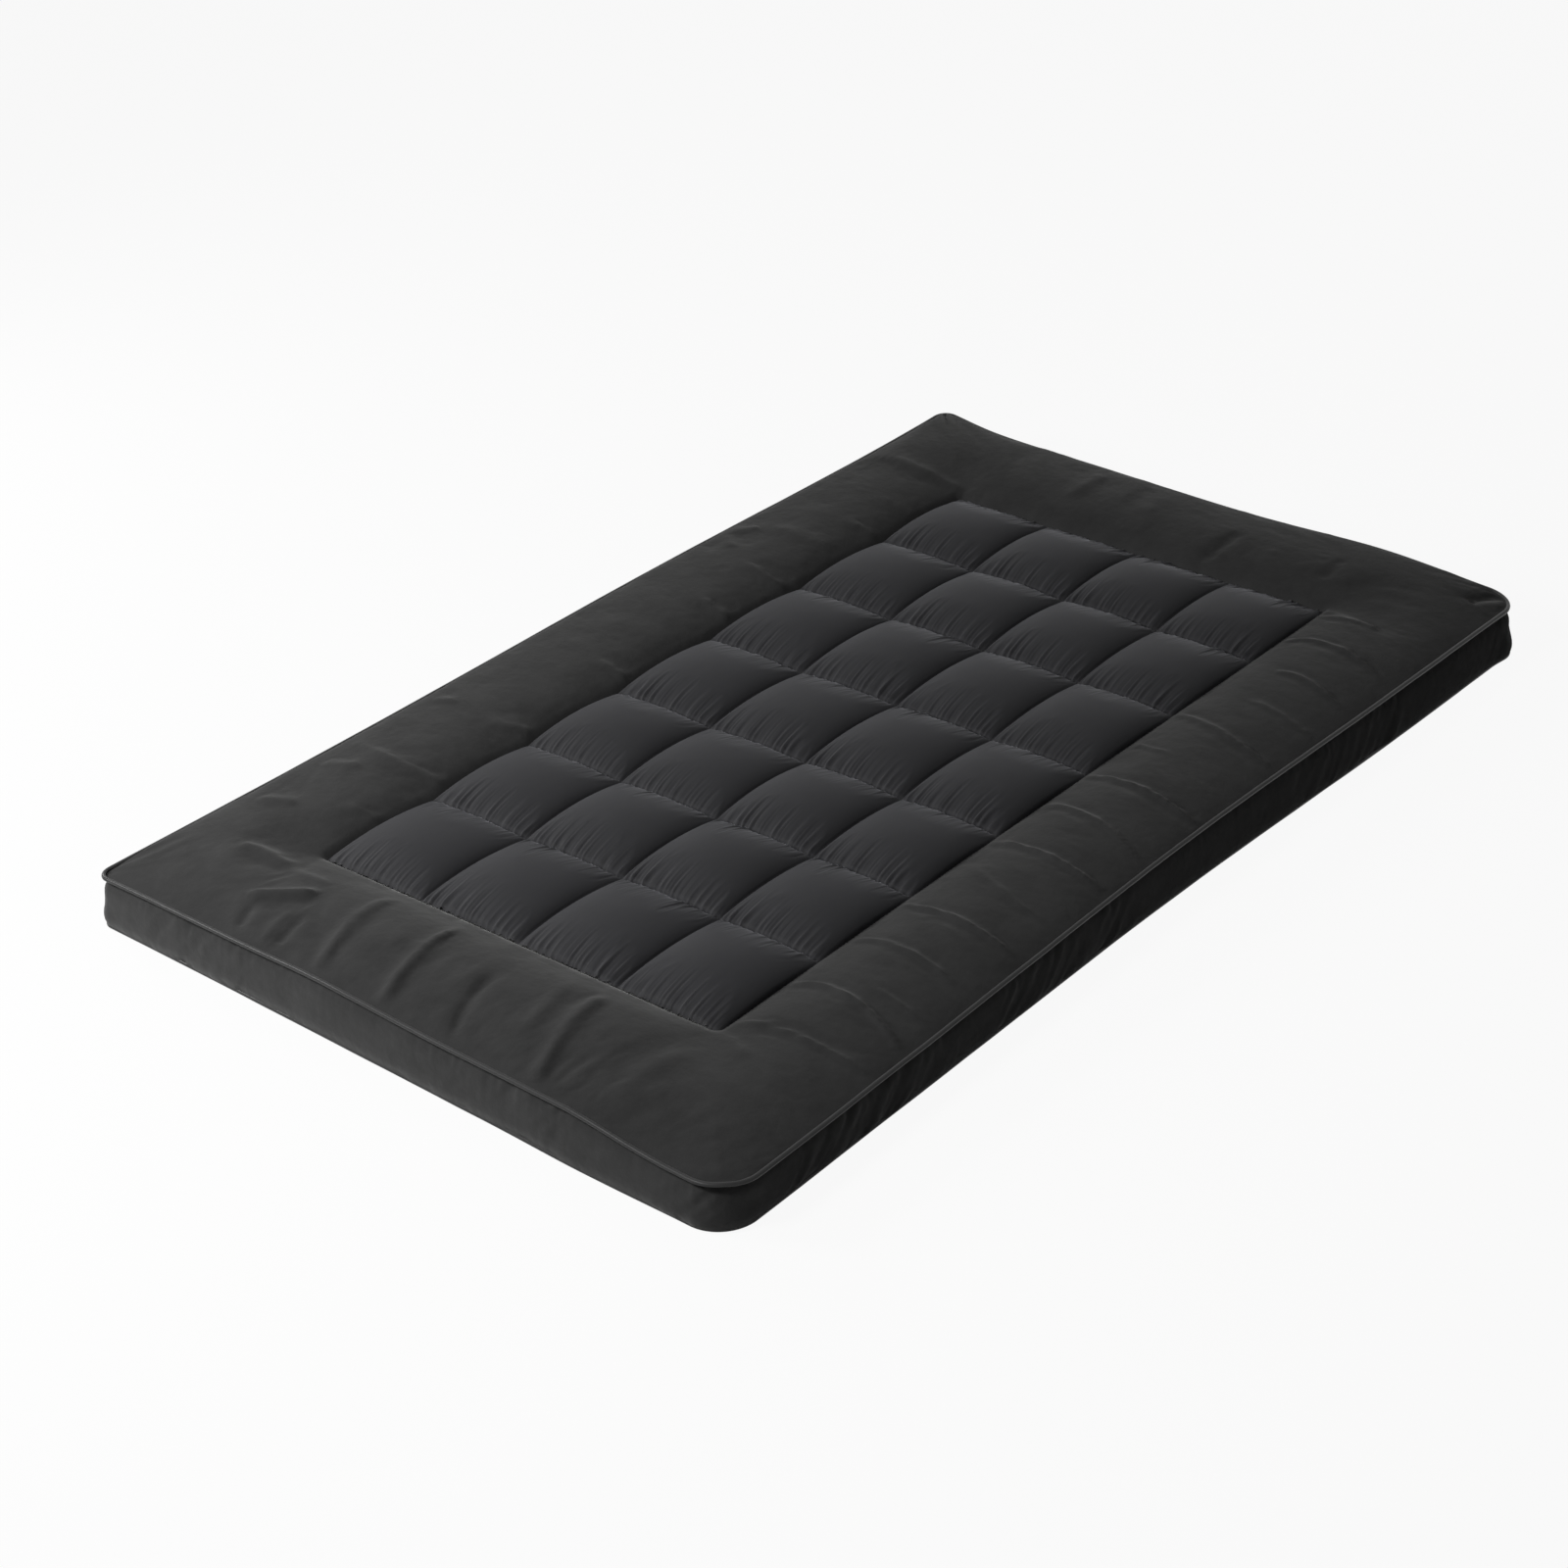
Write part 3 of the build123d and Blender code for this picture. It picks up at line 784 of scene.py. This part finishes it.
class MATTRESS_OT_top_border(bpy.types.Operator):
    """Stuffs the plain border round the quilted panel"""

    bl_idname = "mattress.top_border"
    bl_label = "Top Border"

    def execute(self, context):
        obj, flat, from_field, edges = plan_grid("top_border", hole=True)
        height = self.rise(from_field, edges) + self.folds(flat, from_field, edges)
        # One line of cloth goes on under the panel as the seam's allowance.
        across, along = np.abs(flat.T)
        tucked = (across < PANEL_HIGH.x - 1 * MM) & (along < -PANEL_LOW.y - 1 * MM)
        height[tucked] -= 5 * MM
        start = np.stack([flat[:, 0], flat[:, 1], height], 1)
        # The left and head rolls lean out over their piping.
        for axis, way, gap in ((0, -1, edges[0]), (1, 1, edges[3])):
            lean = np.sin(np.pi * np.clip(gap / (26 * MM), 0, 1))
            start[:, axis] += way * ROLL_LEAN * lean
        # The cloth is cut a little long for its seams, so its folds deepen as the filling presses.
        near_seam = np.exp(-from_field / (60 * MM))
        easing = 1 + 0.006 + 0.012 * near_seam
        cut = start * np.stack([easing, easing, np.ones(len(flat))], 1)
        sewn = tucked | (from_field < 0.1 * MM) | (np.min(edges, axis=0) < 0.1 * MM)
        points = stuffed(obj, start, cut, sewn, pressure=1.2, bending=0.02, frames=6)
        write_points(obj.data, lie(points))
        halves = split_at_join(obj, "top_border")
        twill = brushed_twill("brushed twill", finish().twill)
        stand_for(halves, ["top_border", "top_fibre_pad"], twill)
        return {"FINISHED"}

    def rise(self, from_field, edges):
        """The border's own height: up from the field's seam, over a crown, down to the piping."""
        seam = PANEL_LOW.z + SEAM_RISE
        edge = BAND_HIGH.z - 0.5 * MM
        crown = CAD_HIGH.z + CROWN_RISE
        # The field's seam draws the cloth into a tight lip, and then the cloth climbs slowly.
        lip = LIP_RISE * (1 - np.clip(from_field / (9 * MM), 0, 1)) ** 2
        climb = (crown - seam - LIP_RISE) * (1 - np.clip(from_field / (135 * MM), 0, 1)) ** 1.8
        left, right, foot, head = edges
        # Overstuffed left and head edges stand over their piping in a tight roll, which dies away
        # towards the foot and the right.
        roll = ROLL_RISE * np.where(left < head, ease(foot, 0, 120 * MM), ease(right, 0, 120 * MM))
        short_x, short_y = (np.clip(1 - gap / ROLL_RADIUS, 0, 1) for gap in (left, head))
        rolled = roll * (1 - np.sqrt(1 - np.clip(np.hypot(short_x, short_y), 0, 1) ** 2))
        slopes = ((left, 115, roll), (head, 115, roll), (right, 150, 0), (foot, 150, 0))
        down = sum(
            ((crown - edge - held) * (1 - np.clip(gap / (reach * MM), 0, 1)) ** 2) ** 6
            for gap, reach, held in slopes
        )
        rolling = roll * ((left < 40 * MM) | (head < 40 * MM))
        down = np.minimum(down ** (1 / 6), crown - edge - rolling)
        hold = ((climb + lip) ** 4 + (down + rolled) ** 4) ** 0.25
        return np.maximum(crown - hold, np.minimum(seam, edge))

    def folds(self, flat, from_field, edges):
        """The border's folds, and the slight unevenness of its filling."""
        total = np.zeros(len(flat))
        for fold in RIGHT_FOLDS + FOOT_FOLDS + HEAD_FOLDS + LEFT_FOLDS:
            total += FOLD_DEPTH * fold_height(flat, fold)
        places = np.stack([flat[:, 0], flat[:, 1], np.zeros(len(flat))], 1)
        total += 1.3 * MM * smooth_noise(places, 90 * MM, sizes().seed)
        total += 0.8 * MM * smooth_noise(places, 30 * MM, sizes().seed + 1)
        # Small gathers where the border is sewn to the panel, most of all at its foot.
        gathers = smooth_noise(places, 11 * MM, sizes().seed + 2, depth=1)
        foot_seam = np.where(flat[:, 1] < PANEL_LOW.y + 5 * MM, 1.6, 0.6)
        total += foot_seam * MM * gathers * np.exp(-from_field / (16 * MM))
        held = np.clip(from_field / (10 * MM), 0, 1)
        held *= np.clip(np.min(edges, axis=0) / (12 * MM), 0, 1)
        return total * held


class MATTRESS_OT_side_band(bpy.types.Operator):
    """Sews the upright band between the two rings of piping"""

    bl_idname = "mattress.side_band"
    bl_label = "Side Band"

    columns = 2800
    rows = 16
    # The band is drawn in hard under the top piping, and its belly hangs over the bottom piping.
    top_draw_in = 9.5 * MM
    bottom_draw_in = 2.5 * MM
    belly = 2.5 * MM

    def execute(self, context):
        obj, _, column, row = cloth_grid("side_band", self.columns, self.rows)
        share = column / self.columns
        up = row / self.rows
        height = BAND_HIGH.z - BAND_LOW.z
        way = share * outline_knots()[1][-1]
        up_height, below = up * height, (1 - up) * height
        proud = 1 * MM + self.belly * bell(up_height, 20 * MM, 15 * MM)
        proud -= self.top_draw_in * bell(below, 0, 12 * MM)
        proud -= self.bottom_draw_in * bell(up_height, 0, 7 * MM)
        side, outwards = outline(share)
        side = side + proud[:, None] * outwards
        start = np.stack([side[:, 0], side[:, 1], BAND_LOW.z + up_height], 1)
        cut = np.stack([way * 1.015, up_height * 1.02, np.zeros(len(up))], 1)
        sewn = (row == 0) | (row == self.rows) | (column == 0) | (column == self.columns)
        points = stuffed(obj, start, cut, sewn, pressure=0.8, bending=0.003, frames=6)
        points[:, :2] += self.creases(way, up_height, below)[:, None] * outwards
        write_points(obj.data, lie(points))
        close_ring(obj)
        halves = split_at_join(obj, "side_band")
        twill = brushed_twill("brushed twill band", finish().twill)
        stand_for(halves, ["side_band"], twill)
        return {"FINISHED"}

    def creases(self, way, up, below):
        """How far slanting creases and the gathers at both seams push the band out."""
        ways = np.stack([way, up, np.zeros(len(up))], 1)
        slanted = np.stack([way - 0.8 * up, 0.3 * up, np.zeros(len(up))], 1)
        crease = smooth_noise(slanted, 26 * MM, sizes().seed + 3)
        pucker = smooth_noise(ways * (1.0, 0.15, 0.0), 10 * MM, sizes().seed + 4, depth=1)
        patches = smooth_noise(ways * (1.0, 0.0, 0.0), 160 * MM, sizes().seed + 6)
        strength = np.clip(0.45 + 1.8 * patches, 0, 1)
        near_seams = np.exp(-below / (16 * MM)) + 0.4 * np.exp(-up / (10 * MM))
        held = np.clip(np.minimum(up, below) / (5 * MM), 0, 1)
        return held * MM * (3 * strength * crease + (1.6 + 3 * strength) * near_seams * pucker)


def close_ring(obj):
    """Joins a strip of cloth's meeting edges, and turns its faces outwards."""
    with opened(obj) as bm:
        bmesh.ops.remove_doubles(bm, verts=bm.verts, dist=0.05 * MM)
        bmesh.ops.recalc_face_normals(bm, faces=bm.faces)


def piping(name, height, inset, material):
    """A ring of piping at a height: a round tube that wanders a little, as cord in cloth does.

    It is drawn in from the outline by its inset.
    """
    columns, rows = 1600, 12
    obj, _, column, row = cloth_grid(name, columns, rows)
    share = column / columns
    angle = 2 * np.pi * row / rows
    radius = sizes().piping_radius
    plan, outwards = outline(share)
    turn = 2 * np.pi * share
    ways = np.stack([np.cos(turn), np.sin(turn), np.full(len(share), height)], 1)
    wander = 0.5 * MM * smooth_noise(ways, 0.12, sizes().seed + 5)
    reach = radius * np.cos(angle)
    middle = plan + (reach + wander - inset)[:, None] * outwards
    points = np.stack([middle[:, 0], middle[:, 1], height + radius * np.sin(angle)], 1)
    write_points(obj.data, lie(points))
    close_ring(obj)
    halves = split_at_join(obj, name)
    stand_for(halves, [f"{name}_cover", f"{name}_cord"], material)


class MATTRESS_OT_piping(bpy.types.Operator):
    """Sews the two rings of piping"""

    bl_idname = "mattress.piping"
    bl_label = "Piping"

    def execute(self, context):
        material = bias_twill("bias twill", finish().bias)
        # The top piping stands out over the band, which hangs a little over the bottom piping.
        piping("top_piping", (TOP_PIPING_LOW.z + TOP_PIPING_HIGH.z) / 2, -1 * MM, material)
        piping("bottom_piping", (BOTTOM_PIPING_LOW.z + BOTTOM_PIPING_HIGH.z) / 2, 3 * MM, material)
        return {"FINISHED"}


class MATTRESS_OT_bottom_sheet(bpy.types.Operator):
    """Lays the plain underside"""

    bl_idname = "mattress.bottom_sheet"
    bl_label = "Bottom Sheet"

    # The sheet ends inside the bottom piping, and lifts towards it from the floor.
    inset = 3 * MM
    edge_lift = 2.5 * MM
    clear_of_floor = 0.2 * MM

    def execute(self, context):
        obj, flat, _, edges = plan_grid("bottom_sheet", hole=False)
        lift = self.edge_lift * (1 - np.clip(np.min(edges, axis=0) / (25 * MM), 0, 1)) ** 2
        inwards = 1 - self.inset / TOP_PIPING_HIGH.x
        height = lift + self.clear_of_floor
        write_points(obj.data, lie(np.stack([flat[:, 0] * inwards, flat[:, 1], height], 1)))
        with opened(obj) as bm:
            bmesh.ops.reverse_faces(bm, faces=bm.faces)
        halves = split_at_join(obj, "bottom_sheet")
        twill = brushed_twill("brushed twill underside", finish().twill)
        stand_for(halves, ["bottom_sheet", "bottom_fibre_pad"], twill)
        return {"FINISHED"}


class MATTRESS_OT_inner_layers(bpy.types.Operator):
    """Finishes the foam core and the quilting backing, which the covers hide"""

    bl_idname = "mattress.inner_layers"
    bl_label = "Inner Layers"

    def execute(self, context):
        foam = open_cell_foam("open-cell foam", finish().foam)
        backing = spun_nonwoven("spun-bonded non-woven", finish().nonwoven)
        for kind, material in (("foam_core", foam), ("quilting_backing", backing)):
            for name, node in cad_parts.items():
                if name.startswith(kind):
                    node.data.materials.clear()
                    node.data.materials.append(material)
        return {"FINISHED"}


def area_light(name, place, size, energy):
    """A rectangular lamp that faces the middle of the floor."""
    light = bpy.data.lights.new(name, "AREA")
    light.shape = "RECTANGLE"
    light.size, light.size_y = size
    light.energy = energy
    obj = bpy.data.objects.new(name, light)
    bpy.context.scene.collection.objects.link(obj)
    obj.location = place
    obj.rotation_mode = "QUATERNION"
    obj.rotation_quaternion = (-Vector(place)).to_track_quat("-Z", "Y")


def seen_rays(tree, share):
    """A mix factor: this share for rays that see a thing straight, in gloss or through glass."""
    path = add_node(tree, "ShaderNodeLightPath")
    straight = add_node(
        tree, "ShaderNodeMath", {"operation": "MAXIMUM"},
        _0=path.outputs["Is Camera Ray"], _1=path.outputs["Is Transmission Ray"],
    )
    seen = add_node(
        tree, "ShaderNodeMath", {"operation": "MAXIMUM"},
        _0=straight.outputs[0], _1=path.outputs["Is Glossy Ray"],
    )
    part = add_node(
        tree, "ShaderNodeMath", {"operation": "MULTIPLY"}, _0=seen.outputs[0], _1=share,
    )
    return part.outputs[0]


class MATTRESS_OT_studio(bpy.types.Operator):
    """Sets the floor, lights, surroundings and camera"""

    bl_idname = "mattress.studio"
    bl_label = "Studio"

    def execute(self, context):
        scene = context.scene
        self.floor()
        # A key from the left of the foot end, a higher light close to the foot end, and a weak one
        # from the left that rims the rolled edge. All are near, so light falls off to the head.
        area_light("key", (-2.0, -2.2, 1.5), (0.6, 0.45), 33)
        area_light("foot", (-0.3, -2.2, 1.9), (0.6, 0.4), 25)
        area_light("left rim", (-2.6, -0.4, 1.2), (0.6, 0.45), 15)
        world = bpy.data.worlds.new("studio")
        world.use_nodes = True
        scene.world = world
        tree = world.node_tree
        light = tree.nodes["Background"]
        set_inputs(tree, light, Color=(1, 1, 1, 1), Strength=0.005)
        seen = add_node(tree, "ShaderNodeBackground", Color=(1, 1, 1, 1), Strength=1.0)
        mix = add_node(
            tree, "ShaderNodeMixShader", _0=seen_rays(tree, 1.0), _1=light.outputs[0],
            _2=seen.outputs[0],
        )
        set_inputs(tree, tree.nodes["World Output"], Surface=mix.outputs[0])
        scene.view_settings.view_transform = "Standard"
        self.camera(scene)
        return {"FINISHED"}

    def floor(self):
        """A plain pale floor that keeps the mattress's shadow."""
        bm = bmesh.new()
        bmesh.ops.create_grid(bm, x_segments=1, y_segments=1, size=30.0)
        obj = new_object("floor", bm)
        material, tree, shader = new_material("pale studio floor")
        set_inputs(tree, shader, Base_Color=linear(finish().floor), Roughness=0.9)
        glow = add_node(tree, "ShaderNodeEmission", Color=(1, 1, 1, 1), Strength=1.0)
        # The rest of the floor's brightness is its own lit colour, which keeps the shadow.
        mix = add_node(
            tree, "ShaderNodeMixShader", _0=seen_rays(tree, 0.93), _1=shader.outputs[0],
            _2=glow.outputs[0],
        )
        set_inputs(tree, tree.nodes["Material Output"], Surface=mix.outputs[0])
        obj.data.materials.append(material)

    def camera(self, scene):
        """A long lens high over the foot end's right-hand corner."""
        azimuth, elevation, roll = math.radians(39.70), math.radians(30.56), math.radians(-0.77)
        flat = math.cos(elevation)
        back = Vector((math.sin(azimuth) * flat, -math.cos(azimuth) * flat, math.sin(elevation)))
        lens = bpy.data.cameras.new("camera")
        lens.sensor_width = 36.0
        lens.lens = 73.83
        obj = bpy.data.objects.new("camera", lens)
        scene.collection.objects.link(obj)
        obj.location = (2.6464, -3.3617, 2.5092)
        obj.rotation_mode = "QUATERNION"
        level = (-back).to_track_quat("-Z", "Y")
        obj.rotation_quaternion = level @ Matrix.Rotation(roll, 4, "Z").to_quaternion()
        scene.camera = obj


OPERATORS = (
    MATTRESS_OT_studio,
    MATTRESS_OT_quilted_panel,
    MATTRESS_OT_top_border,
    MATTRESS_OT_side_band,
    MATTRESS_OT_piping,
    MATTRESS_OT_bottom_sheet,
    MATTRESS_OT_inner_layers,
)


class MATTRESS_PT_sidebar(bpy.types.Panel):
    """The mattress's sizes, finishes and steps"""

    bl_idname = "MATTRESS_PT_sidebar"
    bl_label = "Futon Mattress"
    bl_space_type = "VIEW_3D"
    bl_region_type = "UI"
    bl_category = "Mattress"

    def draw(self, context):
        for group in (context.scene.mattress_sizes, context.scene.mattress_finish):
            for name in group.__annotations__:
                self.layout.prop(group, name)
        for operator in OPERATORS:
            self.layout.operator(operator.bl_idname)


def register():
    for cls in (MattressSizes, MattressFinish, *OPERATORS, MATTRESS_PT_sidebar):
        bpy.utils.register_class(cls)
    bpy.types.Scene.mattress_sizes = bpy.props.PointerProperty(type=MattressSizes)
    bpy.types.Scene.mattress_finish = bpy.props.PointerProperty(type=MattressFinish)


def unregister():
    del bpy.types.Scene.mattress_finish
    del bpy.types.Scene.mattress_sizes
    for cls in reversed((MattressSizes, MattressFinish, *OPERATORS, MATTRESS_PT_sidebar)):
        bpy.utils.unregister_class(cls)


def main():
    register()
    for operator in OPERATORS:
        family, name = operator.bl_idname.split(".")
        getattr(getattr(bpy.ops, family), name)()


if __name__ == "__main__":
    main()
